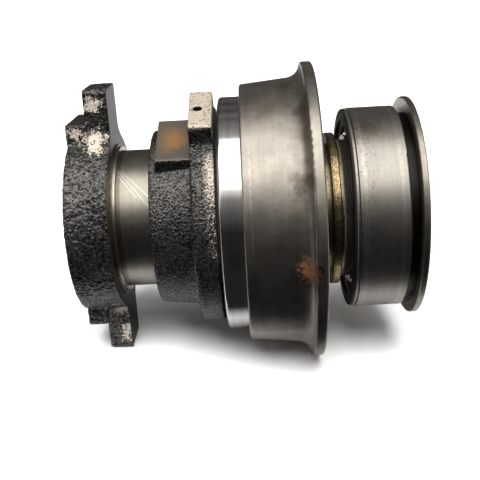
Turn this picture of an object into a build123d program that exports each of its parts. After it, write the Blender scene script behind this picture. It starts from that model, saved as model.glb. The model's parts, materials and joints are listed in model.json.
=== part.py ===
from build123d import *

import math
import os

# Double clutch release bearing, in millimetres.
#
# The bore axis is X. +X points to the clutch and -X to the gearbox. +Z is up, along the ears of the
# rear yoke. The origin is on the bore axis in the rear face of the sleeve.
#
# A ground steel sleeve slides on the gearbox guide tube. Its rear end holds the rear fork yoke, its
# front end holds the small release bearing. The front carrier slides and turns on the sleeve between
# them: a second fork yoke with the large release bearing.
#
# Radial sizes are walls and heights that add up from the guide tube outwards. Places along the bore
# add up from the sleeve's two ends and from where the front carrier rests.

# ---- Guide sleeve ----
guide_radius = 25.0  # of the gearbox guide tube's bore in the bushes
bush_wall = 2.5
sleeve_wall = 5.0  # outside a guide bush
sleeve_length = 150.0
bush_length = 32.0
bush_inset = 5.0  # of the front bush from the sleeve's front end
relief_depth = 1.2  # of the sleeve's bore between the bushes, beyond the guide bore
sleeve_chamfer = 0.8

# ---- Snap rings and washers on the sleeve ----
snap_width = 1.2
snap_height = 2.0
snap_seat = 1.2  # radial depth of a snap ring in its groove
groove_play = 0.1  # spare width of a snap ring groove
snap_pocket_play = 1.5  # between a snap ring and the pocket it lies in
snap_gap_angle = 24.0  # opening between the ends of a split ring, in degrees
washer_thickness = 0.8
washer_height = 3.2
face_gap = 0.05  # between pieces that are stacked along the sleeve
cut_reach = 1.0  # of a cutting tool beyond the surface it cuts
pick_tolerance = 0.1  # for finding a corner by its place

# ---- Stop ring between the carrier and the small bearing ----
stop_ring_gap = 5.8  # from the ring's front face to the small bearing
stop_ring_width = 4.0
stop_ring_height = 3.5  # above the sleeve
stop_groove_depth = 1.6
stop_groove_slack = 1.9  # free width of the groove behind the ring
stop_ring_chamfer = 0.5
stop_ring_gap_angle = 16.0

# ---- Rear yoke ----
rear_yoke_length = 19.3
rear_body_wall = 10.5  # at the rear face
rear_body_taper = 1.6  # radius lost from the rear face to the front face
rear_ear_thickness = 10.9
rear_ear_height = 20.7  # of the ear tip above the body's rear edge
rear_ear_tip_width = 23.0
rear_ear_root_width = 24.5
rear_ear_flare_width = 42.0  # where the ear's root meets the round body
rear_pad_height = 5.7  # of the fork pad's flat above the body's rear edge
rear_pad_width = 31.0
rear_snap_inset = 1.0  # of the rear snap ring from the rear face

# ---- Front yoke ----
front_yoke_start = 37.0  # where the front carrier rests
front_yoke_length = 29.5
front_yoke_turn = 23.0  # of the front ears from the rear ears about the bore axis, in degrees
front_body_wall = 8.5  # at the rear face
front_body_flare = 1.8  # radius gained from the rear face to the flange
front_flange_height = 9.5  # above the body's rear edge
front_flange_thickness = 9.5
front_flange_fillet = 3.0
front_ear_thickness = 10.2
front_ear_height = 9.2  # of the ear tip above the flange
front_ear_tip_width = 29.5
front_ear_root_width = 31.0
front_ear_flare_width = 50.0
front_pad_height = 3.2  # of the fork pad's flat above the body's rear edge
front_pad_width = 32.0
front_pad_setback = 3.6  # of the pad from the yoke's rear face
hub_wall = 3.4
hub_reach = 21.5  # of the hub nose beyond the large bearing
bearing_shoulder_wall = 3.5  # above the hub
bearing_shoulder_height = 1.8  # in front of the flange
grease_hole_radius = 2.0
grease_hole_inset = 6.3  # of its centre from the front of the ear
ear_root_rise = 1.5  # of the ear's root above the round body
ear_overlap = 0.3  # of an ear's root into the round body, so that both join
ear_fillet = 6.0
ear_edge_round = 0.7
ear_tip_round = 2.5
cast_round = 1.2
machined_round = 0.5

# ---- Floating bush of the front carrier ----
carrier_bush_wall = 1.5
running_clearance = 0.05  # radial, between a shaft and its bush
bush_shoulder = 2.0  # of the yoke behind the bush
carrier_mouth_clearance = 0.5  # radial, between the sleeve and the yoke's rear mouth
bush_snap_inset = 1.5  # of the bush's snap ring from the hub nose
bush_snap_height = 1.0
bush_snap_seat = 0.9
bush_hole_count = 4
bush_hole_radius = 1.5
bush_groove_depth = 0.4
bush_groove_width = 5.0

# ---- Large release bearing ----
large_width = 20.0
large_section = 17.5  # radial height from bore to outside
large_ball = 11.0
large_ball_count = 20
large_shoulder_wall = 5.8  # of either ring, beside its race
large_chamfer = 1.5
large_inner_setback = 0.3  # of the inner ring's faces from the outer ring's faces
large_cage_wall = 3.2

# ---- Small release bearing ----
small_width = 19.8
small_section = 12.5
small_front_setback = 3.5  # from the sleeve's front end
small_ball = 6.75
small_ball_count = 28
small_shoulder_wall = 3.5
small_chamfer = 0.8
small_cage_wall = 2.2

# ---- Shared bearing details ----
race_clearance = 0.04  # radial, between a ball and its race
race_conformity = 0.53  # groove radius as a share of the ball's diameter
pocket_clearance = 0.15
seal_thickness = 2.0
seal_setback = 1.0  # from the outer ring's face
seal_seat = 1.6  # radial depth of the seal in the outer ring
seal_lip_clearance = 0.05
cage_side_gap = 0.5  # between the cage and a seal
seal_dish = 0.7  # depth of the dish in the seal's outer face

# ---- Large thrust cup ----
cup_overlap = 10.0  # length of the outer ring that the cup covers
cup_wall = 5.4
cup_flare = 2.0  # radius gained from the cup's rear edge to the flange fillet
cup_length = 33.6
cup_flange_height = 14.3  # above the outer ring
cup_flange_thickness = 5.2
cup_fillet_length = 6.4
cup_fillet_height = 5.2
cup_lip_height = 3.2  # inward, in front of the outer ring
cup_lip_width = 4.0
cup_bore_step = 2.5  # of the cup's bore inside the outer ring's outside
cup_round = 1.2

# ---- Small bearing shell and contact ring ----
shell_wall = 2.1
shell_front_reach = 2.5  # of the shell beyond the bearing
shell_bead_width = 1.9
shell_bead_gap = 0.1  # between the bead and the bearing
shell_bead_depth = 5.6  # inward reach of the rolled rear bead
shell_bead_groove = 0.5
shell_round = 0.9
shell_crimp_width = 1.0
shell_crimp_depth = 3.3
contact_reach = 9.4  # of the contact ring's front face beyond the bearing
contact_flange_height = 4.0  # above the shell
contact_flange_thickness = 3.0
contact_neck_clearance = 0.15
contact_bore_step = 5.5  # of the contact ring's bore inside the bearing's outside
contact_round = 0.8

# ---- Radii worked out from the sizes above ----
relief_radius = guide_radius + relief_depth
bush_outer_radius = guide_radius + bush_wall
sleeve_radius = bush_outer_radius + sleeve_wall
stop_groove_radius = sleeve_radius - stop_groove_depth
rear_body_radius = sleeve_radius + rear_body_wall
rear_ear_radius = rear_body_radius + rear_ear_height
front_body_radius = sleeve_radius + front_body_wall
front_flange_radius = front_body_radius + front_flange_height
front_ear_radius = front_flange_radius + front_ear_height
carrier_bush_bore = sleeve_radius + running_clearance
carrier_bush_radius = carrier_bush_bore + carrier_bush_wall
carrier_bore = carrier_bush_radius + running_clearance
hub_radius = carrier_bore + hub_wall
bearing_shoulder_radius = hub_radius + bearing_shoulder_wall
large_outer_radius = hub_radius + large_section
cup_radius = large_outer_radius + cup_wall
cup_flange_radius = large_outer_radius + cup_flange_height
cup_bore_radius = large_outer_radius - cup_bore_step
small_outer_radius = sleeve_radius + small_section
shell_radius = small_outer_radius + shell_wall
contact_flange_radius = shell_radius + contact_flange_height
contact_bore_radius = small_outer_radius - contact_bore_step

# ---- Places along the bore worked out from the sizes above ----
rear_ear_start = rear_yoke_length - rear_ear_thickness
washer_start = rear_yoke_length
front_yoke_end = front_yoke_start + front_yoke_length
front_flange_start = front_yoke_end - front_flange_thickness
front_ear_start = front_yoke_end - front_ear_thickness
front_pad_start = front_yoke_start + front_pad_setback
grease_hole_x = front_yoke_end - grease_hole_inset
bearing_shoulder_end = front_yoke_end + bearing_shoulder_height
large_start = bearing_shoulder_end - large_inner_setback
large_end = large_start + large_width
hub_nose = large_end + hub_reach
carrier_bush_start = front_yoke_start + bush_shoulder
bush_snap_end = hub_nose - bush_snap_inset
carrier_bush_end = bush_snap_end - snap_width - groove_play
cup_start = large_start + cup_overlap
cup_end = cup_start + cup_length
small_end = sleeve_length - small_front_setback
small_start = small_end - small_width
shell_rear = small_start - shell_bead_gap - shell_bead_width
shell_front = small_end + shell_front_reach
contact_front = small_end + contact_reach
stop_ring_front = small_start - stop_ring_gap
stop_ring_start = stop_ring_front - stop_ring_width

# Centre planes of the snap ring grooves on the sleeve.
snap_places = {
    "yoke_rear_snap_ring": rear_snap_inset + snap_width / 2,
    "yoke_front_snap_ring": washer_start + washer_thickness + face_gap + snap_width / 2,
    "small_rear_snap_ring": small_start - face_gap - snap_width / 2,
    "small_front_snap_ring": small_end + face_gap + snap_width / 2,
}


def turned(outline, rounds=()):
    """Solid turned about X from (x, radius) points; rounds lists (corner number, radius) pairs."""
    face = make_face(Polyline(*outline, close=True))
    for corner, radius in rounds:
        vertex = face.vertices().sort_by_distance((*outline[corner], 0))[0]
        face = fillet(vertex, radius)
    return revolve(face, Axis.X)


def ring(start, end, outer, inner, rounds=()):
    """Plain ring between two planes; its outer corners are numbers 1 (rear) and 2 (front)."""
    return turned([(start, inner), (start, outer), (end, outer), (end, inner)], rounds)


def rod(start, end, radius):
    """Round bar along the bore axis, used to cut bores."""
    return Pos((start + end) / 2, 0, 0) * Rot(0, 90, 0) * Cylinder(radius, end - start)


def split_gap(start, end, outer, angle):
    """Wedge on the +Y side that opens a split ring."""
    half = math.radians(angle / 2)
    reach = 2 * outer
    side = reach * math.tan(half)
    wedge = Plane.YZ.offset(start) * make_face(Polyline((0, 0), (reach, -side), (reach, side), close=True))
    return extrude(wedge, end - start)


def sleeve_snap_groove(middle):
    """Ring-shaped cut in the sleeve for one outside snap ring."""
    half = (snap_width + groove_play) / 2
    return ring(middle - half, middle + half, sleeve_radius + cut_reach, sleeve_radius - snap_seat)


def outside_snap_ring(middle):
    """Split snap ring seated in its groove on the sleeve."""
    start = middle - snap_width / 2
    end = middle + snap_width / 2
    bottom = sleeve_radius - snap_seat
    body = ring(start, end, bottom + snap_seat + snap_height, bottom)
    return body - split_gap(start, end, sleeve_radius + snap_height, snap_gap_angle)


def guide_sleeve():
    """Ground sleeve with seats for both guide bushes and a groove for each ring."""
    body = ring(0, sleeve_length, sleeve_radius, relief_radius)
    body = chamfer(body.edges().filter_by(GeomType.CIRCLE).filter_by(lambda e: e.radius == sleeve_radius),
                   sleeve_chamfer)
    front_seat = sleeve_length - bush_inset - bush_length
    body -= rod(0, bush_length, bush_outer_radius)
    body -= rod(front_seat, sleeve_length, bush_outer_radius)
    for middle in snap_places.values():
        body -= sleeve_snap_groove(middle)
    groove_start = stop_ring_start - stop_groove_slack
    body -= ring(groove_start, stop_ring_front, sleeve_radius + cut_reach, stop_groove_radius)
    return body


def guide_bush(start):
    """Bronze bush that runs on the gearbox guide tube."""
    return ring(start, start + bush_length, bush_outer_radius, guide_radius)


def thrust_washer():
    """Washer between the rear yoke and its front snap ring."""
    return ring(washer_start, washer_start + washer_thickness, sleeve_radius + washer_height, sleeve_radius)


def stop_ring():
    """Heavy split ring that stops the front carrier."""
    rounds = ((1, stop_ring_chamfer), (2, stop_ring_chamfer))
    outer = sleeve_radius + stop_ring_height
    body = ring(stop_ring_start, stop_ring_front, outer, stop_groove_radius, rounds)
    return body - split_gap(stop_ring_start, stop_ring_front, outer, stop_ring_gap_angle)


def eared_plate(start, thickness, core_radius, tip_radius, tip_width, root_width, flare_width):
    """Flat plate with two opposite ears along Z, which flare out at their roots onto a round core."""
    flare_height = math.sqrt(core_radius**2 - (flare_width / 2) ** 2)
    side = [
        (flare_width / 2, flare_height),
        (root_width / 2, core_radius + ear_root_rise),
        (tip_width / 2, tip_radius),
    ]
    mirrored = [(-across, up) for across, up in reversed(side)]
    ear = make_face(Polyline((0, 0), *side, *mirrored, close=True))
    tips = ear.vertices().filter_by(lambda v: v.Y > tip_radius - pick_tolerance)
    ear = fillet(tips, ear_tip_round)
    roots = ear.vertices().filter_by(lambda v: abs(abs(v.X) - root_width / 2) < pick_tolerance)
    ear = fillet(roots, ear_fillet)
    outline = Circle(core_radius) + ear + ear.rotate(Axis.Z, 180)
    plate = extrude(Plane.YZ.offset(start) * outline, thickness)
    rims = plate.edges().filter_by(Axis.X, reverse=True)
    return fillet(rims, ear_edge_round)


def fork_pads(start, end, height, width):
    """Two opposite bosses along Z, each with a flat for the fork; they reach in to the bore."""
    block = Box(end - start, width, 2 * height)
    block = fillet(block.edges().filter_by(Axis.X), cast_round)
    return Pos((start + end) / 2, 0, 0) * block


def rear_yoke():
    """Cast fork yoke at the sleeve's rear end, with ears along Z."""
    front_radius = rear_body_radius - rear_body_taper
    body = turned([(0, sleeve_radius), (0, rear_body_radius), (rear_yoke_length, front_radius),
                   (rear_yoke_length, sleeve_radius)],
                  ((1, cast_round), (2, machined_round)))
    body += eared_plate(rear_ear_start, rear_ear_thickness, front_radius - ear_overlap, rear_ear_radius,
                        rear_ear_tip_width, rear_ear_root_width, rear_ear_flare_width)
    body += fork_pads(0, rear_ear_start + cast_round, rear_body_radius + rear_pad_height, rear_pad_width)
    body -= rod(0, rear_yoke_length, sleeve_radius)
    pocket_end = snap_places["yoke_rear_snap_ring"] + snap_width / 2 + face_gap
    body -= rod(0, pocket_end, sleeve_radius + snap_height + snap_pocket_play)
    return body


def front_yoke():
    """Cast fork yoke of the front carrier with its long machined hub."""
    body_end_radius = front_body_radius + front_body_flare
    outline = [
        (front_yoke_start, sleeve_radius),
        (front_yoke_start, front_body_radius),
        (front_flange_start, body_end_radius),
        (front_flange_start, front_flange_radius),
        (front_yoke_end, front_flange_radius),
        (front_yoke_end, bearing_shoulder_radius),
        (bearing_shoulder_end, bearing_shoulder_radius),
        (bearing_shoulder_end, hub_radius),
        (hub_nose, hub_radius),
        (hub_nose, sleeve_radius),
    ]
    rounds = ((1, cast_round), (2, front_flange_fillet), (3, cast_round), (4, machined_round),
              (8, machined_round))
    body = turned(outline, rounds)
    body += eared_plate(front_ear_start, front_ear_thickness, front_flange_radius - ear_overlap,
                        front_ear_radius, front_ear_tip_width, front_ear_root_width, front_ear_flare_width)
    body += fork_pads(front_pad_start, front_ear_start + cast_round, front_body_radius + front_pad_height,
                      front_pad_width)
    body -= rod(front_yoke_start, carrier_bush_start, sleeve_radius + carrier_mouth_clearance)
    body -= rod(carrier_bush_start, hub_nose, carrier_bore)
    groove_half = (snap_width + groove_play) / 2
    groove_middle = bush_snap_end - snap_width / 2
    body -= rod(groove_middle - groove_half, groove_middle + groove_half, carrier_bore + bush_snap_seat)
    drill = Cylinder(grease_hole_radius, front_ear_radius + cut_reach)
    body -= Pos(grease_hole_x, 0, front_ear_radius / 2) * drill
    return body.rotate(Axis.X, front_yoke_turn)


def carrier_bush():
    """Bronze bush that slides along the sleeve with the front carrier, which turns on it."""
    body = ring(carrier_bush_start + face_gap, carrier_bush_end - face_gap, carrier_bush_radius,
                carrier_bush_bore)
    half = bush_groove_width / 2
    groove_bottom = carrier_bush_radius - bush_groove_depth
    body -= ring(grease_hole_x - half, grease_hole_x + half, carrier_bush_radius + cut_reach, groove_bottom)
    for turn in range(bush_hole_count):
        hole = Pos(grease_hole_x, 0, carrier_bush_radius) * Cylinder(bush_hole_radius, 4 * carrier_bush_wall)
        body -= hole.rotate(Axis.X, turn * 360 / bush_hole_count)
    return body


def bush_snap_ring():
    """Inside snap ring in the hub nose that keeps the bush in the carrier."""
    outer = carrier_bore + bush_snap_seat
    start = bush_snap_end - snap_width
    body = ring(start, bush_snap_end, outer, carrier_bore - bush_snap_height)
    return body - split_gap(start, bush_snap_end, outer, snap_gap_angle)


def race_tool(middle, pitch, ball, side):
    """Torus that cuts a race: side is +1 for the outer ring and -1 for the inner ring."""
    groove = race_conformity * ball
    centre = pitch + side * (ball / 2 + race_clearance - groove)
    circle = Pos(middle, centre) * Circle(groove)
    return revolve(circle, Axis.X)


class Bearing:
    """Sizes of one ball bearing, worked out from its driving dimensions."""

    def __init__(self, start, width, bore, outer, ball, count, wall, corner, setback, cage_wall):
        self.start = start
        self.end = start + width
        self.middle = start + width / 2
        self.bore = bore
        self.outer = outer
        self.ball = ball
        self.count = count
        self.pitch = (bore + outer) / 2
        self.inner_shoulder = bore + wall
        self.outer_shoulder = outer - wall
        self.corner = corner
        self.setback = setback
        self.cage_width = width - 2 * (seal_setback + seal_thickness + cage_side_gap)
        self.cage_wall = cage_wall
        self.seal_radius = self.outer_shoulder + seal_seat

    def inner_ring(self):
        body = ring(self.start + self.setback, self.end - self.setback, self.inner_shoulder, self.bore,
                    ((1, machined_round), (2, machined_round)))
        return body - race_tool(self.middle, self.pitch, self.ball, -1)

    def outer_ring(self):
        seat = seal_setback + seal_thickness
        body = turned([
            (self.start, self.seal_radius),
            (self.start, self.outer),
            (self.end, self.outer),
            (self.end, self.seal_radius),
            (self.end - seat, self.seal_radius),
            (self.end - seat, self.outer_shoulder),
            (self.start + seat, self.outer_shoulder),
            (self.start + seat, self.seal_radius),
        ], ((1, self.corner), (2, self.corner)))
        return body - race_tool(self.middle, self.pitch, self.ball, +1)

    def seal(self, front):
        """Rubber seal pressed into the outer ring; its outer face is dished."""
        inner = self.inner_shoulder + seal_lip_clearance
        edge = seal_seat / 2
        outline = [
            (0, inner),
            (0, inner + edge),
            (seal_dish, inner + 2 * edge),
            (seal_dish, self.seal_radius - 2 * edge),
            (0, self.seal_radius - edge),
            (0, self.seal_radius),
            (seal_thickness, self.seal_radius),
            (seal_thickness, inner),
        ]
        if front:
            placed = [(self.end - seal_setback - x, r) for x, r in outline]
        else:
            placed = [(self.start + seal_setback + x, r) for x, r in outline]
        return turned(placed)

    def balls(self):
        ball = Pos(self.middle, 0, self.pitch) * Sphere(self.ball / 2)
        return Compound([ball.rotate(Axis.X, turn * 360 / self.count).solid() for turn in range(self.count)])

    def cage(self):
        half = self.cage_width / 2
        outer = self.pitch + self.cage_wall / 2
        body = ring(self.middle - half, self.middle + half, outer, outer - self.cage_wall)
        pocket = Pos(self.middle, 0, self.pitch) * Cylinder(self.ball / 2 + pocket_clearance, self.ball)
        for turn in range(self.count):
            body -= pocket.rotate(Axis.X, turn * 360 / self.count)
        return body


def thrust_cup():
    """Flared steel cup pressed over the large outer ring; its front face meets the clutch levers."""
    flange_start = cup_end - cup_flange_thickness
    fillet_start = flange_start - cup_fillet_length
    flare_radius = cup_radius + cup_flare
    rear = Polyline((cup_start, large_outer_radius), (cup_start, cup_radius), (fillet_start, flare_radius))
    flare = TangentArc(
        (fillet_start, flare_radius),
        (flange_start, flare_radius + cup_fillet_height),
        tangent=(fillet_start - cup_start, cup_flare),
    )
    front = Polyline(
        (flange_start, flare_radius + cup_fillet_height),
        (flange_start, cup_flange_radius),
        (cup_end, cup_flange_radius),
        (cup_end, cup_bore_radius),
        (large_end + cup_lip_width, cup_bore_radius),
        (large_end + cup_lip_width, large_outer_radius - cup_lip_height),
        (large_end, large_outer_radius - cup_lip_height),
        (large_end, large_outer_radius),
        (cup_start, large_outer_radius),
    )
    face = make_face(rear + flare + front)
    corners = ((cup_start, cup_radius), (flange_start, cup_flange_radius), (cup_end, cup_flange_radius),
               (cup_end, cup_bore_radius))
    for corner in corners:
        face = fillet(face.vertices().sort_by_distance((*corner, 0))[0], cup_round)
    return revolve(face, Axis.X)


def small_shell():
    """Pressed steel shell round the small bearing, with a rolled bead behind and a crimp in front."""
    bead_end = shell_rear + shell_bead_width
    inner = small_outer_radius
    groove_bottom = shell_radius - shell_bead_groove
    outline = [
        (shell_rear, shell_radius - shell_bead_depth),
        (shell_rear, shell_radius - shell_bead_groove),
        (bead_end, shell_radius - shell_bead_groove / 2),
        (bead_end, groove_bottom - shell_bead_groove / 2),
        (bead_end + shell_bead_groove, groove_bottom - shell_bead_groove / 2),
        (bead_end + 2 * shell_bead_groove, shell_radius),
        (shell_front, shell_radius),
        (shell_front, shell_radius - shell_crimp_depth),
        (shell_front - shell_crimp_width, shell_radius - shell_crimp_depth),
        (shell_front - shell_crimp_width, inner),
        (bead_end, inner),
        (bead_end, shell_radius - shell_bead_depth),
    ]
    return turned(outline, ((1, shell_round), (6, shell_round)))


def contact_ring():
    """Contact ring clamped in the small shell's crimp; its front face meets the clutch levers."""
    foot_end = shell_front - shell_crimp_width
    neck = shell_radius - shell_crimp_depth - contact_neck_clearance
    flange_start = contact_front - contact_flange_thickness
    outline = [
        (small_end, contact_bore_radius),
        (small_end, small_outer_radius - face_gap),
        (foot_end, small_outer_radius - face_gap),
        (foot_end, neck),
        (flange_start, neck),
        (flange_start, contact_flange_radius),
        (contact_front, contact_flange_radius),
        (contact_front, contact_bore_radius),
    ]
    return turned(outline, ((5, contact_round), (6, contact_round), (7, machined_round)))


large = Bearing(large_start, large_width, hub_radius, large_outer_radius, large_ball, large_ball_count,
                large_shoulder_wall, large_chamfer, large_inner_setback, large_cage_wall)
small = Bearing(small_start, small_width, sleeve_radius, small_outer_radius, small_ball, small_ball_count,
                small_shoulder_wall, small_chamfer, 0, small_cage_wall)

nodes = {
    "guide_sleeve": guide_sleeve(),
    "rear_guide_bush": guide_bush(0),
    "front_guide_bush": guide_bush(sleeve_length - bush_inset - bush_length),
    "rear_yoke": rear_yoke(),
    "yoke_thrust_washer": thrust_washer(),
    "carrier_stop_ring": stop_ring(),
    "front_yoke": front_yoke(),
    "carrier_bush": carrier_bush(),
    "bush_snap_ring": bush_snap_ring(),
    "large_thrust_cup": thrust_cup(),
    "small_shell": small_shell(),
    "small_contact_ring": contact_ring(),
}
for name, middle in snap_places.items():
    nodes[name] = outside_snap_ring(middle)
for size, bearing in (("large", large), ("small", small)):
    nodes[f"{size}_inner_ring"] = bearing.inner_ring()
    nodes[f"{size}_outer_ring"] = bearing.outer_ring()
    nodes[f"{size}_balls"] = bearing.balls()
    nodes[f"{size}_cage"] = bearing.cage()
    nodes[f"{size}_rear_seal"] = bearing.seal(front=False)
    nodes[f"{size}_front_seal"] = bearing.seal(front=True)

os.makedirs("parts", exist_ok=True)
for name, shape in nodes.items():
    export_step(shape, f"parts/{name}.step")
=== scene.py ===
"""Dual clutch release bearing: looks, floor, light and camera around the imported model."""

import json
import math

import bpy
from mathutils import Matrix, Vector, noise


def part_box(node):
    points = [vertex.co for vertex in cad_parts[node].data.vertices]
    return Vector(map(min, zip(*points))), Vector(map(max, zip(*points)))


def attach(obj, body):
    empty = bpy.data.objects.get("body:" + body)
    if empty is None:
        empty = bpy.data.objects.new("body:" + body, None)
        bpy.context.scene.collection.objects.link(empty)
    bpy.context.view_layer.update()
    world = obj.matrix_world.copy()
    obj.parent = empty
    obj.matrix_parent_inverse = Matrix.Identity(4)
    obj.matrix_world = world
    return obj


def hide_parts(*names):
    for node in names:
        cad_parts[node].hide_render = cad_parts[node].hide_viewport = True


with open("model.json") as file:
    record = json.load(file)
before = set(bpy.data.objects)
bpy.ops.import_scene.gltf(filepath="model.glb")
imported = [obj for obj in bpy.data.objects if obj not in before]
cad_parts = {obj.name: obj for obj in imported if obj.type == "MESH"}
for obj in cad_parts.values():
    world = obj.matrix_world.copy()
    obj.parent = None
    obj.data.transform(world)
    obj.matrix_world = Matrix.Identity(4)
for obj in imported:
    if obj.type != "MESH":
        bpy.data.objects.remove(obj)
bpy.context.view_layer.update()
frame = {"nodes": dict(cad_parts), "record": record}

MM = 0.001


# ---------------------------------------------------------------- places read from the frame
def low(node):
    """Corner of a node's box with the least x, y and z."""
    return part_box(node)[0]


def high(node):
    """Corner of a node's box with the greatest x, y and z."""
    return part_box(node)[1]


def radius(node):
    """Largest radius of a round node about the bore axis."""
    return max(high(node)[1], -low(node)[1])


rear_yoke_front = high("rear_yoke")[0]
ear_tip = high("rear_yoke")[2]
sleeve_radius = radius("guide_sleeve")
ring_radius = radius("large_outer_ring")
cup_end = high("large_thrust_cup")[0]
cup_rim = radius("large_thrust_cup")
shell_radius = radius("small_shell")

# The yokes' machined faces, as the CAD model has them: x along the bore, heights over its axis.
FRONT_TURN = math.radians(23.0)  # of the front yoke about the bore axis
REAR_PAD_FLAT = 48.7 * MM  # height of the rear yoke's fork pads
REAR_EAR_BACK = 8.4 * MM  # x of the back of its ears, where the fork presses
FRONT_FLAT = 44.2 * MM  # height of the front yoke's fork pads
FRONT_TIP = 59.7 * MM  # height of its ear tips
FRONT_EAR_BACK = 56.3 * MM
FRONT_YOKE_END = 66.5 * MM
FRONT_FLANGE_RADIUS = 50.5 * MM

LATHE_RADIUS = 40 * MM  # radius at which a turned surface's noise is drawn out by just its stretch


def around(x, turn, distance):
    """Point at x along the bore, turned from +Z towards -Y by degrees, at a distance from the axis."""
    angle = math.radians(turn)
    return Vector((x * MM, -distance * math.sin(angle), distance * math.cos(angle)))


# ---------------------------------------------------------------- node-building helpers
class Nodes:
    """A node tree whose helpers return sockets."""

    def __init__(self, owner):
        owner.use_nodes = True
        self.tree = owner.node_tree
        self.tree.nodes.clear()

    def new(self, kind):
        """Adds a node; kind is its type's name without the prefix that all share."""
        return self.tree.nodes.new("ShaderNode" + kind)

    def feed(self, socket, value):
        """Sets a socket to a number or colour, or links it to another socket."""
        if isinstance(value, bpy.types.NodeSocket):
            self.tree.links.new(value, socket)
        elif isinstance(value, tuple) and len(value) == 3 and len(socket.default_value) == 4:
            socket.default_value = (*value, 1.0)
        elif value is not None:
            socket.default_value = value

    def split(self, vector):
        """The x, y and z of a vector."""
        node = self.new("SeparateXYZ")
        self.feed(node.inputs[0], vector)
        return node.outputs

    def join(self, x, y, z):
        """The vector of x, y and z."""
        node = self.new("CombineXYZ")
        for socket, value in zip(node.inputs, (x, y, z)):
            self.feed(socket, value)
        return node.outputs[0]

    def math(self, operation, first, second=None, clamp=False):
        """Result of one arithmetic operation, held between 0 and 1 if clamp is set."""
        node = self.new("Math")
        node.operation = operation
        node.use_clamp = clamp
        self.feed(node.inputs[0], first)
        self.feed(node.inputs[1], second)
        return node.outputs[0]

    def times(self, first, *others):
        """Product of the values."""
        for other in others:
            first = self.math("MULTIPLY", first, other)
        return first

    def plus(self, first, *others):
        """Sum of the values."""
        for other in others:
            first = self.math("ADD", first, other)
        return first

    def either(self, first, *others):
        """The largest of the values, so that masks join."""
        for other in others:
            first = self.math("MAXIMUM", first, other)
        return first


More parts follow.
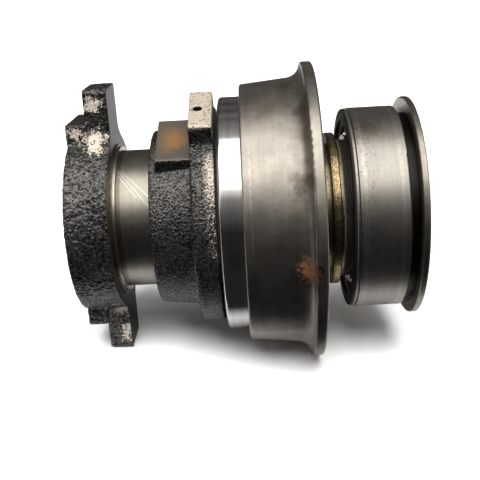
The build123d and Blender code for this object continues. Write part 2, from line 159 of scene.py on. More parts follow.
class Shader(Nodes):
    """A surface material on a Principled shader, so that a finish reads as a short recipe."""

    def __init__(self, name):
        self.material = bpy.data.materials.new(name)
        super().__init__(self.material)
        self.surface = self.new("BsdfPrincipled")
        self.feed(self.new("OutputMaterial").inputs["Surface"], self.surface.outputs[0])
        self.place = self.new("TexCoord").outputs["Object"]
        self.x, self.y, self.z = self.split(self.place)
        square = self.plus(self.times(self.y, self.y), self.times(self.z, self.z))
        self.distance = self.math("SQRT", square)
        self.angle = self.math("ARCTAN2", self.times(self.y, -1.0), self.z)

    def set(self, **values):
        """Sets or links the surface shader's inputs; base_color stands for 'Base Color' and so on."""
        names = {socket.name.lower().replace(" ", "_"): socket for socket in self.surface.inputs}
        for key, value in values.items():
            self.feed(names[key], value)

    def rise(self, value, start, end):
        """Smooth step: 0 at start, 1 at end; start may be larger than end."""
        node = self.new("MapRange")
        node.interpolation_type = "SMOOTHSTEP"
        self.feed(node.inputs["Value"], value)
        limits = (start, end, 0.0, 1.0) if start < end else (end, start, 1.0, 0.0)
        for name, limit in zip(("From Min", "From Max", "To Min", "To Max"), limits):
            node.inputs[name].default_value = limit
        return node.outputs[0]

    def band(self, value, start, end, soft):
        """1 between start and end, with edges that fade over soft."""
        return self.times(self.rise(value, start - soft, start), self.rise(value, end + soft, end))

    def blend(self, kind, factor, first, second):
        """Mix node; after its two factor inputs comes a pair of inputs for each kind, in the order below."""
        place = ("FLOAT", "VECTOR", "RGBA").index(kind)
        node = self.new("Mix")
        node.data_type = kind
        node.clamp_factor = True
        self.feed(node.inputs[0], factor)
        self.feed(node.inputs[2 + 2 * place], first)
        self.feed(node.inputs[3 + 2 * place], second)
        return node.outputs[place]

    def mix(self, factor, first, second):
        """Colour mix from first (factor 0) to second (factor 1)."""
        return self.blend("RGBA", factor, first, second)

    def between(self, factor, first, second):
        """Number that goes from first to second as factor goes from 0 to 1."""
        return self.blend("FLOAT", factor, first, second)

    def mix_normals(self, factor, first, second):
        """Surface direction that goes from first to second as factor goes from 0 to 1."""
        return self.blend("VECTOR", factor, first, second)

    def noise(self, size, detail=3.0, roughness=0.5, where=None):
        """Noise from 0 to 1 whose lumps are about size metres across."""
        node = self.new("TexNoise")
        self.feed(node.inputs["Vector"], where or self.place)
        self.feed(node.inputs["Scale"], 1.0 / size)
        self.feed(node.inputs["Detail"], detail)
        self.feed(node.inputs["Roughness"], roughness)
        return node.outputs[0]

    def cells(self, size):
        """Distance to scattered points about size metres apart, for pits."""
        node = self.new("TexVoronoi")
        self.feed(node.inputs["Vector"], self.place)
        self.feed(node.inputs["Scale"], 1.0 / size)
        return node.outputs["Distance"]

    def lathe(self, stretch, offset=0.0):
        """Coordinates that draw noise out round the bore axis by stretch, into fine rings."""
        turned = self.times(self.angle, LATHE_RADIUS / stretch)
        return self.join(self.plus(self.x, offset), self.distance, turned)

    def ragged(self, value, amount, size, detail=5.0):
        """Adds noise to a mask before it is cut, so that its edge breaks up."""
        return self.plus(value, self.times(self.plus(self.noise(size, detail, 0.7), -0.5), amount))

    def vector_math(self, operation, first, second=None):
        """Node of one vector operation."""
        node = self.new("VectorMath")
        node.operation = operation
        self.feed(node.inputs[0], first)
        self.feed(node.inputs[1], second)
        return node

    def nearness(self, centre, reach, stretch=(1, 1, 1)):
        """1 at a point, falling to 0 at reach metres."""
        offset = self.vector_math("SUBTRACT", self.place, centre).outputs[0]
        scaled = self.vector_math("MULTIPLY", offset, [1 / part for part in stretch]).outputs[0]
        length = self.vector_math("LENGTH", scaled).outputs["Value"]
        return self.math("SUBTRACT", 1.0, self.math("DIVIDE", length, reach), clamp=True)

    def stain(self, centre, reach, size=2.5 * MM, stretch=(1, 1, 1), cut=(0.25, 0.75)):
        """Soft cloudy patch round a point."""
        return self.rise(self.ragged(self.nearness(centre, reach, stretch), 1.2, size), *cut)

    def chips(self, centre, reach, size=1.6 * MM, stretch=(1, 1, 1), cut=0.55):
        """Hard-edged broken patches round a point, as where paint has flaked."""
        near = self.nearness(centre, reach, stretch)
        broken = self.ragged(self.ragged(near, 1.3, size * 2.2, 2.0), 2.0, size * 0.55, 3.0)
        return self.times(self.rise(broken, cut, cut + 0.06), self.rise(near, 0.0, 0.15))

    def bump(self, height, depth):
        """Bump of a height field; depth is its full height in metres."""
        node = self.new("Bump")
        node.inputs["Strength"].default_value = 1.0
        node.inputs["Distance"].default_value = depth
        self.feed(node.inputs["Height"], height)
        return node.outputs[0]


def dress(node, material):
    """Gives a CAD node its finished material."""
    obj = frame["nodes"][node]
    obj.data.materials.clear()
    obj.data.materials.append(material)


# ---------------------------------------------------------------- materials of the castings
IRON_BLACK = (0.02, 0.0195, 0.019)
IRON_GREY = (0.125, 0.121, 0.116)
IRON_GLINT = (0.62, 0.60, 0.56)
CHIPPED = (0.50, 0.44, 0.37)
MACHINED_GREY = (0.13, 0.127, 0.123)
RUST = (0.34, 0.17, 0.055)
OIL_BROWN = (0.10, 0.075, 0.05)
SKIN_METAL = 0.85  # how metallic the glossy cast skin is


def casting_skin(shader, grain, glint_share):
    """Colour, roughness and height of a rough sand-cast skin with small worn peaks."""
    lumps = shader.noise(grain, 1.5, 0.5)
    grit = shader.noise(grain * 0.45, 2.0, 0.5)
    cloud = shader.noise(grain * 9, 3.0, 0.55)
    height = shader.plus(shader.times(lumps, 0.8), shader.times(grit, 0.2))
    peaks = shader.plus(shader.times(grit, 0.75), shader.times(lumps, 0.25), shader.times(cloud, 0.2))
    glint = shader.rise(peaks, glint_share, glint_share + 0.06)
    tone = shader.rise(shader.plus(height, shader.times(cloud, 0.3)), 0.5, 0.78)
    colour = shader.mix(tone, IRON_BLACK, IRON_GREY)
    colour = shader.mix(glint, colour, IRON_GLINT)
    rough = shader.between(grit, 0.18, 0.36)
    return colour, rough, height


def rear_casting():
    """Black cast iron with chipped paint, a ground front face and flat fork seats; the machined faces get
    painted shade towards the bottom.
    """
    shader = Shader("rear_yoke_casting")
    colour, rough, height = casting_skin(shader, 1.3 * MM, 0.75)
    chips = shader.either(
        shader.chips(around(12.5, 11, 58 * MM), 8 * MM, 1.5 * MM, (1, 1, 0.8)),
        shader.chips(around(4.0, 19, 47 * MM), 6 * MM, 1.6 * MM),
        shader.chips(around(12.0, 16, 44.5 * MM), 9 * MM, 2.0 * MM, (1, 1, 0.75), 0.5),
        shader.chips(around(13.0, 24, 43 * MM), 8 * MM, 2.0 * MM),
        shader.chips(around(16.5, 163, 43 * MM), 7 * MM, 1.6 * MM),
        shader.chips(around(17.0, 168, 56 * MM), 8 * MM, 1.7 * MM, (0.7, 1, 1.2)),
        shader.chips(around(15.0, 150, 43 * MM), 6 * MM, 1.2 * MM, cut=0.62),
    )
    face = shader.rise(shader.x, rear_yoke_front - 0.25 * MM, rear_yoke_front - 0.1 * MM)
    seat = shader.times(shader.rise(shader.x, REAR_EAR_BACK + 0.3 * MM, REAR_EAR_BACK),
                        shader.rise(shader.math("ABSOLUTE", shader.z), REAR_PAD_FLAT - 0.9 * MM,
                                    REAR_PAD_FLAT - 0.4 * MM))
    machined = shader.either(face, seat)
    turning = shader.noise(0.35 * MM, 3.0, 0.6, shader.lathe(30))
    ground = shader.mix(shader.noise(6 * MM, 4.0, 0.6), (0.10, 0.098, 0.095), MACHINED_GREY)
    ground = shader.mix(seat, ground, (0.07, 0.064, 0.058))
    # Painted shade: the machined faces darken to near black from just above the bore axis to 30 mm below it,
    # so the lower ear's face reads black.
    ground = shader.mix(shader.rise(shader.z, 5 * MM, -30 * MM), ground, (0.012, 0.011, 0.010))
    colour = shader.mix(chips, colour, CHIPPED)
    colour = shader.mix(machined, colour, ground)
    rough = shader.between(chips, rough, 0.55)
    rough = shader.between(machined, rough, shader.between(turning, 0.36, 0.5))
    skin = shader.plus(shader.times(height, shader.between(chips, 1.0, 0.35)), shader.times(chips, 0.25))
    depth = shader.bump(skin, 0.8 * MM)
    flat = shader.bump(turning, 0.012 * MM)
    normal = shader.mix_normals(machined, depth, flat)
    shader.set(base_color=colour, roughness=rough, normal=normal,
               metallic=shader.between(chips, SKIN_METAL, 0.15))
    return shader.material


def front_casting():
    """Dark cast iron with rusty fork pads, pitted bare ear tips and a worn flange rim."""
    shader = Shader("front_yoke_casting")
    colour, rough, height = casting_skin(shader, 0.95 * MM, 0.76)
    up = shader.math("ABSOLUTE", shader.plus(shader.times(shader.y, -math.sin(FRONT_TURN)),
                                             shader.times(shader.z, math.cos(FRONT_TURN))))
    behind_ear = shader.rise(shader.x, FRONT_EAR_BACK + 0.2 * MM, FRONT_EAR_BACK - 0.1 * MM)
    pad = shader.times(behind_ear, shader.rise(up, FRONT_FLAT - 0.5 * MM, FRONT_FLAT - 0.2 * MM))
    tip = shader.rise(up, FRONT_TIP - 1.0 * MM, FRONT_TIP - 0.4 * MM)
    hub = shader.rise(shader.x, FRONT_YOKE_END - 0.1 * MM, FRONT_YOKE_END + 0.1 * MM)
    outer = shader.rise(shader.distance, FRONT_FLANGE_RADIUS - 2.5 * MM, FRONT_FLANGE_RADIUS - 0.5 * MM)
    rim = shader.times(outer,
                       shader.rise(shader.ragged(shader.x, 5 * MM, 2.5 * MM), 61.5 * MM, 64.0 * MM),
                       shader.band(shader.ragged(shader.angle, 0.3, 4 * MM), 0.84, 1.62, 0.12))
    fewer = shader.times(shader.rise(shader.angle, 1.0, 1.3), 0.12)
    speckle = shader.rise(shader.math("SUBTRACT", shader.noise(0.8 * MM, 3.0, 0.7), fewer), 0.42, 0.50)
    worn = shader.times(rim, speckle)
    pits = shader.rise(shader.cells(1.9 * MM), 0.26, 0.14)
    stains = shader.rise(shader.noise(1.1 * MM, 4.0, 0.65), 0.52, 0.66)
    tip_colour = shader.mix(stains, (0.42, 0.37, 0.30), (0.17, 0.13, 0.09))
    tip_colour = shader.mix(pits, tip_colour, (0.03, 0.022, 0.015))
    rust_cloud = shader.stain(around(48.5, 24, 45 * MM), 15 * MM, 5 * MM, (0.75, 1, 1), cut=(0.1, 1.0))
    pad_colour = shader.mix(shader.noise(1.4 * MM, 5.0, 0.7), (0.075, 0.066, 0.054), (0.15, 0.128, 0.10))
    pad_colour = shader.mix(shader.times(rust_cloud, 0.75), pad_colour, RUST)
    colour = shader.mix(worn, colour, (0.46, 0.40, 0.33))
    colour = shader.mix(pad, colour, pad_colour)
    colour = shader.mix(tip, colour, tip_colour)
    colour = shader.mix(hub, colour, (0.5, 0.48, 0.45))
    smooth = shader.either(pad, tip, hub)
    depth = shader.bump(height, 0.65 * MM)
    flat = shader.bump(shader.plus(shader.noise(0.5 * MM, 3.0, 0.6), shader.times(pits, -1.5)), 0.03 * MM)
    normal = shader.mix_normals(smooth, depth, flat)
    bare = shader.either(worn, tip)
    shader.set(base_color=colour, normal=normal, roughness=shader.between(smooth, rough, 0.45),
               metallic=shader.between(bare, shader.between(pad, SKIN_METAL, 0.5), 0.2))
    return shader.material


# ---------------------------------------------------------------- materials of the turned steel
def no_marks(shader):
    """Marks of a clean surface."""
    return ()


def turned_steel(name, colour, rough, cloud_share=0.25, ring_depth=0.006 * MM,
                 blasted=False, marks=no_marks):
    """Turned or ground steel with fine rings round the bore and soft clouds.

    blasted gives it an even grain in place of the fine rings.
    marks gives stains as (mask, colour, strength, whether it is matt dirt and not bare metal).
    """
    shader = Shader(name)
    rings = shader.noise(0.35 * MM, 3.0, 0.6, None if blasted else shader.lathe(60))
    wide_rings = shader.noise(2.2 * MM, 3.0, 0.6, shader.lathe(25, 0.31))
    cloud = shader.noise(9 * MM, 5.0, 0.62)
    weave = shader.noise(0.6 * MM, 2.0, 0.5, None if blasted else shader.lathe(4))
    dark = tuple(part * (1 - cloud_share) for part in colour)
    tone = shader.plus(shader.times(cloud, 0.5), shader.times(wide_rings, 0.25), shader.times(weave, 0.25))
    base = shader.mix(shader.rise(tone, 0.37, 0.63), dark, colour)
    matt = []
    for mask, tint, strength, dull in marks(shader):
        cover = shader.times(mask, strength)
        base = shader.mix(cover, base, tint)
        if dull:
            matt.append(cover)
    level = shader.plus(shader.times(rings, 0.6), shader.times(cloud, 0.4))
    roughness = shader.between(level, rough * 0.75, rough * 1.3)
    metallic = 1.0
    if matt:
        dirt = shader.either(*matt)
        roughness = shader.between(dirt, roughness, 0.6)
        metallic = shader.between(dirt, 1.0, 0.1)
    shader.set(base_color=base, metallic=metallic, roughness=roughness,
               normal=shader.bump(rings, ring_depth))
    return shader.material


# Each scratch on the journal: x along the bore in mm and turn in degrees at its start, then at its end.
SCRATCHES = ((22.0, 33, 36.5, 66), (23.4, 33, 36.5, 58), (22.5, 38, 30, 56), (24.3, 86, 27.6, 97))


def scratch(shader, x, turn, end_x, end_turn):
    """Thin straight line on a round surface, slanting from one place to another."""
    slope = math.radians(end_turn - turn) / ((end_x - x) * MM)
    line = shader.math("SUBTRACT", shader.angle, shader.times(shader.plus(shader.x, -x * MM), slope))
    away = shader.math("ABSOLUTE", shader.plus(line, -math.radians(turn)))
    return shader.times(shader.rise(away, 0.010, 0.003), shader.band(shader.x, x * MM, end_x * MM, MM))


def sleeve_marks(shader):
    """Oil film, slanting scratches on the journal, speckles by the stop ring, and painted shade beyond it:
    the sleeve inside the bearing made matt black.
    """
    scratches = shader.either(*(scratch(shader, *ends) for ends in SCRATCHES))
    # Painted shade, though the mask is called grease: past about 122 mm the sleeve lies in the bearing's
    # dark recess and is made matt black.
    grease = shader.rise(shader.x, 121.8 * MM, 123 * MM)
    front = shader.rise(shader.x, 100 * MM, 105 * MM)
    speckle = shader.times(front, shader.rise(shader.noise(0.9 * MM, 4.0, 0.7), 0.52, 0.6))
    edge = shader.times(shader.rise(shader.ragged(shader.x, 1.5 * MM, 2 * MM), 24.0 * MM, 22.6 * MM),
                        shader.rise(shader.x, 10 * MM, 20 * MM))
    dirt = shader.rise(shader.noise(2.2 * MM, 5.0, 0.7), 0.55, 0.7)
    yield edge, OIL_BROWN, 0.6, False
    yield dirt, (0.25, 0.21, 0.16), 0.4, False
    yield front, (0.36, 0.30, 0.20), 0.8, False
    # Painted shade inside the bearing, matt black.
    yield grease, (0.008, 0.007, 0.006), 1.0, True
    yield speckle, (0.05, 0.04, 0.025), 0.8, False
    yield scratches, (0.85, 0.83, 0.79), 0.5, False


def cup_marks(shader):
    """Brown smudges in the flange fillet, a rust spot, a small ring stain and a faint wear line."""
    upper = shader.stain(around(104, 33, 65 * MM), 12 * MM, 6 * MM, (0.65, 1, 1), cut=(0.3, 0.95))
    lower = shader.stain(around(103, 64, 64 * MM), 11 * MM, 4 * MM, (0.75, 1, 1), cut=(0.3, 0.9))
    grime = shader.times(shader.band(shader.ragged(shader.x, 6 * MM, 7 * MM), 99 * MM, 107 * MM, 4 * MM),
                         shader.rise(shader.noise(7 * MM, 3.0, 0.55), 0.35, 0.8))
    cloud = shader.rise(shader.noise(16 * MM, 3.0, 0.5), 0.42, 0.7)
    rust = shader.chips(around(103, 96, 66 * MM), 8 * MM, 0.9 * MM, (0.8, 1, 1.1), 0.40)
    halo = shader.stain(around(103, 98, 66 * MM), 12 * MM, 3 * MM, cut=(0.3, 0.9))
    away = shader.math("SUBTRACT", 1.0, shader.nearness(around(107.6, 94, cup_rim), 4 * MM))
    ring_stain = shader.band(away, 0.27, 0.42, 0.10)
    wavy = shader.ragged(shader.x, 0.8 * MM, 3 * MM)
    line = shader.times(shader.band(wavy, 81.3 * MM, 81.7 * MM, 0.5 * MM),
                        shader.band(shader.angle, 0.92, 1.5, 0.15),
                        shader.rise(shader.noise(1.5 * MM), 0.42, 0.6))
    specks = shader.rise(shader.noise(0.8 * MM, 2.0, 0.6), 0.68, 0.74)
    yield cloud, (0.30, 0.265, 0.225), 0.35, False
    yield grime, (0.13, 0.095, 0.06), 0.5, False
    yield upper, (0.10, 0.075, 0.05), 0.55, False
    yield lower, (0.06, 0.045, 0.032), 0.7, False
    yield specks, (0.20, 0.15, 0.11), 0.2, False
    yield halo, (0.09, 0.05, 0.028), 0.6, False
    yield rust, (0.16, 0.058, 0.013), 0.9, True
    yield ring_stain, (0.10, 0.02, 0.01), 0.75, False
    yield line, (0.75, 0.72, 0.66), 0.35, False


def shell_marks(shader):
    """Brown specks near the rear edge, two faint bright bands, and the dark rolled lip."""
    cloud = shader.rise(shader.noise(9 * MM, 4.0, 0.55), 0.4, 0.66)
    specks = shader.times(shader.rise(shader.noise(1.3 * MM, 5.0, 0.72), 0.55, 0.64),
                          shader.rise(shader.ragged(shader.x, 12 * MM, 6 * MM), 139 * MM, 129 * MM))
    film = shader.stain(around(133, 25, shell_radius), 14 * MM, 5 * MM, cut=(0.25, 0.9))
    bright = shader.either(shader.band(shader.x, 129.4 * MM, 130.2 * MM, 0.8 * MM),
                           shader.band(shader.x, 145.2 * MM, 145.9 * MM, 0.8 * MM))
    bright = shader.times(bright, shader.rise(shader.noise(2 * MM, 3.0, 0.6), 0.3, 0.6))
    lip = shader.rise(shader.x, 126.3 * MM, 125.9 * MM)
    yield cloud, (0.33, 0.29, 0.24), 0.4, False
    yield film, (0.16, 0.12, 0.075), 0.55, False
    yield specks, (0.09, 0.06, 0.035), 0.8, False
    yield bright, (0.66, 0.63, 0.58), 0.3, False
    yield lip, (0.006, 0.006, 0.006), 1.0, True


def contact_marks(shader):
    """Light brown stain on the small flange, and painted shade, near black, in the recess behind it."""
    stain = shader.rise(shader.noise(3 * MM, 5.0, 0.7), 0.42, 0.66)
    # Painted shade: the recess behind the flange, inside the shell's radius, is made near black.
    recess_shade = shader.rise(shader.distance, shell_radius, shell_radius - 2 * MM)
    yield stain, (0.30, 0.24, 0.16), 0.55, False
    yield recess_shade, (0.012, 0.012, 0.012), 0.95, False


def ring_marks(shader):
    """Hairlines and slightly duller bands in the polish, and an oil film low down."""
    hair = shader.rise(shader.noise(0.5 * MM, 4.0, 0.7, shader.lathe(90)), 0.55, 0.68)
    bands = shader.rise(shader.noise(2.4 * MM, 3.0, 0.6, shader.lathe(40, 0.11)), 0.45, 0.62)
    film = shader.stain(around(74.5, 95, ring_radius), 9 * MM, 2 * MM)
    yield hair, (0.42, 0.42, 0.42), 0.35, False
    yield bands, (0.50, 0.49, 0.48), 0.35, False
    yield film, (0.2, 0.17, 0.15), 0.3, False


def stop_marks(shader):
    """Dark golden grease with black grit and bright flecks."""
    grease = shader.rise(shader.noise(1.6 * MM, 5.0, 0.7), 0.40, 0.60)
    dark_side = shader.rise(shader.ragged(shader.x, 1.2 * MM, 2 * MM), 118.6 * MM, 117.8 * MM)
    grit = shader.rise(shader.noise(0.9 * MM, 4.0, 0.7), 0.53, 0.60)
    flecks = shader.rise(shader.noise(0.6 * MM, 3.0, 0.7), 0.62, 0.66)
    yield grease, (0.20, 0.12, 0.035), 0.75, False
    yield dark_side, (0.07, 0.05, 0.025), 0.6, False
    yield grit, (0.02, 0.016, 0.01), 0.85, False
    yield flecks, (0.90, 0.78, 0.50), 0.8, False


def washer_marks(shader):
    """Brown oil stains."""
    yield shader.rise(shader.noise(1.5 * MM, 4.0, 0.7), 0.4, 0.65), (0.07, 0.05, 0.03), 0.7, False


def seal_rubber():
    """Matt black rubber with a fine moulded grain and a little dust."""
    shader = Shader("seal_rubber")
    grain = shader.noise(0.25 * MM, 3.0, 0.6)
    dust = shader.noise(3 * MM, 5.0, 0.65)
    colour = shader.mix(shader.rise(dust, 0.45, 0.8), (0.008, 0.008, 0.009), (0.05, 0.045, 0.04))
    shader.set(base_color=colour,
               roughness=shader.between(grain, 0.45, 0.7), normal=shader.bump(grain, 0.02 * MM))
    return shader.material


STEELS = {
    "sleeve_steel": dict(colour=(0.38, 0.355, 0.31), rough=0.33, cloud_share=0.2, marks=sleeve_marks),
    "washer_steel": dict(colour=(0.26, 0.20, 0.14), rough=0.4, marks=washer_marks),
    "spring_steel": dict(colour=(0.55, 0.52, 0.47), rough=0.3),
    "bush_bronze": dict(colour=(0.62, 0.40, 0.18), rough=0.32),
    "stop_ring_brass": dict(colour=(0.66, 0.52, 0.29), rough=0.3, cloud_share=0.4, ring_depth=0.05 * MM,
                            marks=stop_marks),
    "bearing_steel": dict(colour=(0.58, 0.57, 0.55), rough=0.2),
    "polished_ring": dict(colour=(0.80, 0.79, 0.78), rough=0.11, cloud_share=0.08, ring_depth=0.0016 * MM,
                          marks=ring_marks),
    "ball_steel": dict(colour=(0.75, 0.75, 0.76), rough=0.08, cloud_share=0.05, ring_depth=0.0005 * MM),
    "cage_steel": dict(colour=(0.48, 0.46, 0.42), rough=0.35),
    "shield_steel": dict(colour=(0.66, 0.65, 0.62), rough=0.3, cloud_share=0.15),
    "thrust_cup_steel": dict(colour=(0.46, 0.425, 0.38), rough=0.38, cloud_share=0.3, ring_depth=0.02 * MM,
                             blasted=True, marks=cup_marks),
    "shell_steel": dict(colour=(0.42, 0.40, 0.365), rough=0.37, cloud_share=0.2, ring_depth=0.010 * MM,
                        marks=shell_marks),
    "contact_ring_steel": dict(colour=(0.40, 0.375, 0.34), rough=0.36, marks=contact_marks),
}
finishes = {name: turned_steel(name, **look) for name, look in STEELS.items()}
finishes["seal_rubber"] = seal_rubber()
finishes["rear_yoke_casting"] = rear_casting()
finishes["front_yoke_casting"] = front_casting()

for part in frame["record"]["subparts"]:
    dress(part["node"], finishes[part["material_slot"]])


# ---------------------------------------------------------------- cast yokes with a rough skin
# How far the rough skin stays clear of machined faces.
FACE_MARGIN = 0.3 * MM  # at the yokes' front faces and the front yoke's pads
EDGE_MARGIN = 0.4 * MM  # at the rear yoke's pads, the front yoke's ear tips and the backs of all ears
FACING_BACK = -0.8  # a face whose normal has less x than this looks to the rear


def lumpy(point, grain):
    """Lumps of a sand-cast skin, from 0 to 1."""
    broad = noise.noise(point / grain)
    fine = noise.noise(point / (grain * 0.5) + Vector((3.1, 7.7, 1.3)))
    return max(0.0, min(1.0, 0.5 + 0.55 * broad + 0.3 * fine))


def rear_skin(point, normal):
    """How much of the casting's roughness a point of the rear yoke has."""
    away = math.hypot(point.y, point.z)
    if away < sleeve_radius + 2 * MM or point.x > rear_yoke_front - FACE_MARGIN:
        return 0.0
    if abs(point.z) > REAR_PAD_FLAT - EDGE_MARGIN and point.x < REAR_EAR_BACK - EDGE_MARGIN:
        return 0.0
    if abs(point.z) > REAR_PAD_FLAT and normal.x < FACING_BACK:
        return 0.0
    return 1.0


def front_skin(point, normal):
    """How much of the casting's roughness a point of the front yoke has."""
    away = math.hypot(point.y, point.z)
    up = abs(point.z * math.cos(FRONT_TURN) - point.y * math.sin(FRONT_TURN))
    if away < sleeve_radius + 3 * MM or point.x > FRONT_YOKE_END - FACE_MARGIN:
        return 0.0
    if up > FRONT_FLAT - FACE_MARGIN and point.x < FRONT_EAR_BACK - EDGE_MARGIN:
        return 0.0
    if up > FRONT_TIP - EDGE_MARGIN or (up > FRONT_FLAT + MM and normal.x < FACING_BACK):
        return 0.0
    return 1.0


def cast_piece(node, body, slot, skin, voxel, grain, depth):
    """Replaces a smooth CAD casting by a dense copy with a rough skin, sunk into the CAD surface.

    skin gives a point's share of the roughness; grain is its lumps' size, and depth how deep they go.
    """
    base = bpy.data.objects.new(node + "_base", frame["nodes"][node].data.copy())
    bpy.context.scene.collection.objects.link(base)
    remesh = base.modifiers.new("remesh", "REMESH")
    remesh.mode = "VOXEL"
    remesh.voxel_size = voxel
    remesh.use_smooth_shade = True
    graph = bpy.context.evaluated_depsgraph_get()
    mesh = bpy.data.meshes.new_from_object(base.evaluated_get(graph))
    bpy.data.objects.remove(base)
    moved = []
    for vertex in mesh.vertices:
        share = skin(vertex.co, vertex.normal)
        moved.append(vertex.co - vertex.normal * (share * depth * lumpy(vertex.co, grain)))
    for vertex, place in zip(mesh.vertices, moved):
        vertex.co = place
    mesh.materials.clear()
    mesh.materials.append(finishes[slot])
    piece = bpy.data.objects.new(node + "_cast", mesh)
    bpy.context.scene.collection.objects.link(piece)
    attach(piece, body)
    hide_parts(node)


cast_piece("rear_yoke", "sleeve_assembly", "rear_yoke_casting", rear_skin,
           voxel=0.5 * MM, grain=1.7 * MM, depth=0.42 * MM)
cast_piece("front_yoke", "front_carrier", "front_yoke_casting", front_skin,
           voxel=0.58 * MM, grain=1.1 * MM, depth=0.22 * MM)


# ---------------------------------------------------------------- floor, light and camera
rim_edge = cup_end - 1.2 * MM  # where the large flange's rounded rim touches the floor
floor_slope = math.atan2(cup_rim - ear_tip, rim_edge - REAR_EAR_BACK)


def on_floor(x, y):
    """Point of the tilted floor; the object stands on the lower rear ear and the large flange."""
    turn = Matrix.Rotation(floor_slope, 4, "Y")
    return Matrix.Translation((REAR_EAR_BACK, 0, -ear_tip)) @ turn @ Vector((x - REAR_EAR_BACK, y, 0))


FLOOR_REACH = 12.0  # metres each way
FADE_BLACK, FADE_WHITE = -50 * MM, -28 * MM  # y between which the paper fades in reflections
REFLECTED_PAPER = 0.6  # its brightness there behind the fade, where the camera's own view has 1
OBJECT_MIDDLE = 75 * MM  # along the bore
SOFTBOX_HEIGHT = 0.6
SOFTBOX_WIDTH = 1.6
SOFTBOX_FRONT, SOFTBOX_BACK = 39.0, 88.0  # elevations of its edges, seen from the object
SOFTBOX_POWER = 6.5
KEY_ELEVATION = math.radians(56)
KEY_SPREAD = math.radians(40)
KEY_STRENGTH = 5.6
CAMERA_LENS = 58.5
CAMERA_TARGET = Vector((74.8, 0, -14.0)) * MM
CAMERA_DISTANCE = 379.8 * MM
CAMERA_AZIMUTH, CAMERA_ELEVATION, CAMERA_ROLL = (math.radians(turn) for turn in (1.46, 19.0, -3.23))

# Brightness of the room in reflections, by degrees up from the horizon on the camera's side.
ROOM = ((0, 0.03), (4, 0.038), (18, 0.12), (30, 0.26), (39, 1.1), (60, 0.8),
        (88, 0.6), (95, 0.40), (105, 0.22), (112, 0.18), (118, 0.10), (124, 0.16),
        (133, 0.06), (140, 0.11), (148, 0.05), (158, 0.09), (180, 0.05))
ROOM_TINT = (1.0, 0.97, 0.935)


def add_floor():
    """White paper; in reflections it fades to black in front, where the dark room begins."""
    mesh = bpy.data.meshes.new("floor")
    ends = (-FLOOR_REACH, FLOOR_REACH)
    corners = [on_floor(x, y) for x in ends for y in ends]
    mesh.from_pydata(corners, [], [(0, 2, 3, 1)])
    floor = bpy.data.objects.new("floor", mesh)
    bpy.context.scene.collection.objects.link(floor)
    shader = Shader("floor_paper")
    seen = shader.new("LightPath").outputs["Is Camera Ray"]
    reflected = shader.times(shader.rise(shader.y, FADE_BLACK, FADE_WHITE), REFLECTED_PAPER)
    fibre = shader.noise(0.4 * MM, 3.0, 0.6)
    shader.set(base_color=shader.mix(shader.either(seen, reflected), (0.01, 0.01, 0.011), (0.9, 0.9, 0.9)),
               roughness=0.95, specular_ior_level=0.0, normal=shader.bump(fibre, 0.01 * MM))
    mesh.materials.append(shader.material)


def add_lamp(name, kind, **settings):
    """Adds a light of a kind with its settings, and returns its object."""
    light = bpy.data.lights.new(name, kind)
    for key, value in settings.items():
        setattr(light, key, value)
    lamp = bpy.data.objects.new(name, light)
    bpy.context.scene.collection.objects.link(lamp)
    return lamp


def add_softbox():
    """Overhead softbox, which shows only in reflections."""
    edges = (SOFTBOX_FRONT, SOFTBOX_BACK)
    front, back = (-SOFTBOX_HEIGHT / math.tan(math.radians(edge)) for edge in edges)
    lamp = add_lamp("softbox", "AREA", shape="RECTANGLE", size=SOFTBOX_WIDTH, size_y=back - front,
                    energy=SOFTBOX_POWER, color=(1.0, 0.975, 0.93))
    lamp.location = (OBJECT_MIDDLE, (front + back) / 2, SOFTBOX_HEIGHT)
    lamp.visible_diffuse = False
    lamp.visible_camera = False


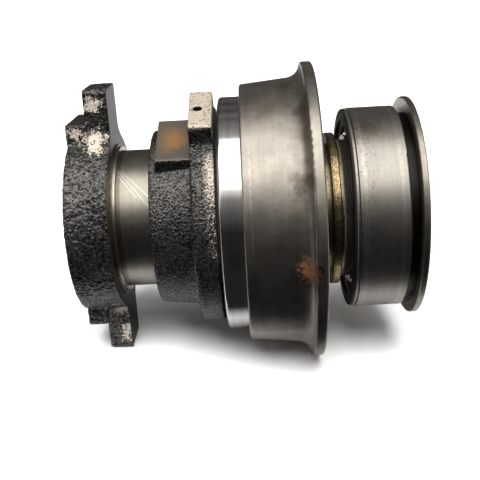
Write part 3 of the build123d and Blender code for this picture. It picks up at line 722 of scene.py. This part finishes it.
def add_key():
    """Broad light from above the camera; it lights the paper and the matt skins and casts the shadow."""
    lamp = add_lamp("key", "SUN", energy=KEY_STRENGTH, angle=KEY_SPREAD)
    towards = Vector((0, -math.cos(KEY_ELEVATION), math.sin(KEY_ELEVATION)))
    lamp.rotation_euler = towards.to_track_quat("Z", "Y").to_euler()
    lamp.visible_glossy = False


def add_world():
    """White for the camera; a dim room with faint streaks behind the object in reflections."""
    world = bpy.data.worlds.new("studio")
    nodes = Nodes(world)
    _, y, z = nodes.split(nodes.new("TexCoord").outputs["Generated"])
    elevation = nodes.math("ARCTAN2", z, nodes.times(y, -1.0))
    ramp = nodes.new("ValToRGB")
    stops = ramp.color_ramp.elements
    while len(stops) < len(ROOM):
        stops.new(0.5)
    for stop, (degrees, level) in zip(stops, ROOM):
        stop.position = degrees / 180
        stop.color = (*(level * part for part in ROOM_TINT), 1.0)
    nodes.feed(ramp.inputs[0], nodes.math("DIVIDE", elevation, math.pi))
    both = nodes.new("MixShader")
    nodes.feed(both.inputs[0], nodes.new("LightPath").outputs["Is Camera Ray"])
    for socket, colour in zip(both.inputs[1:], (ramp.outputs[0], (1.0, 1.0, 1.0))):
        background = nodes.new("Background")
        nodes.feed(background.inputs[0], colour)
        nodes.feed(socket, background.outputs[0])
    nodes.feed(nodes.new("OutputWorld").inputs[0], both.outputs[0])
    bpy.context.scene.world = world


def add_camera():
    """Camera on the -Y side of the object, a little above it and slightly rolled."""
    camera_data = bpy.data.cameras.new("camera")
    camera_data.sensor_width = 36.0
    camera_data.lens = CAMERA_LENS
    camera_data.clip_start = 0.01
    camera = bpy.data.objects.new("camera", camera_data)
    away = Vector((-math.sin(CAMERA_AZIMUTH) * math.cos(CAMERA_ELEVATION),
                   math.cos(CAMERA_AZIMUTH) * math.cos(CAMERA_ELEVATION),
                   -math.sin(CAMERA_ELEVATION)))
    upright = away.to_track_quat("-Z", "Y").to_matrix().to_4x4()
    place = Matrix.Translation(CAMERA_TARGET - away * CAMERA_DISTANCE)
    camera.matrix_world = place @ upright @ Matrix.Rotation(CAMERA_ROLL, 4, "Z")
    bpy.context.scene.collection.objects.link(camera)
    bpy.context.scene.camera = camera


add_floor()
add_world()
add_softbox()
add_key()
add_camera()
bpy.context.scene.view_settings.view_transform = "Standard"
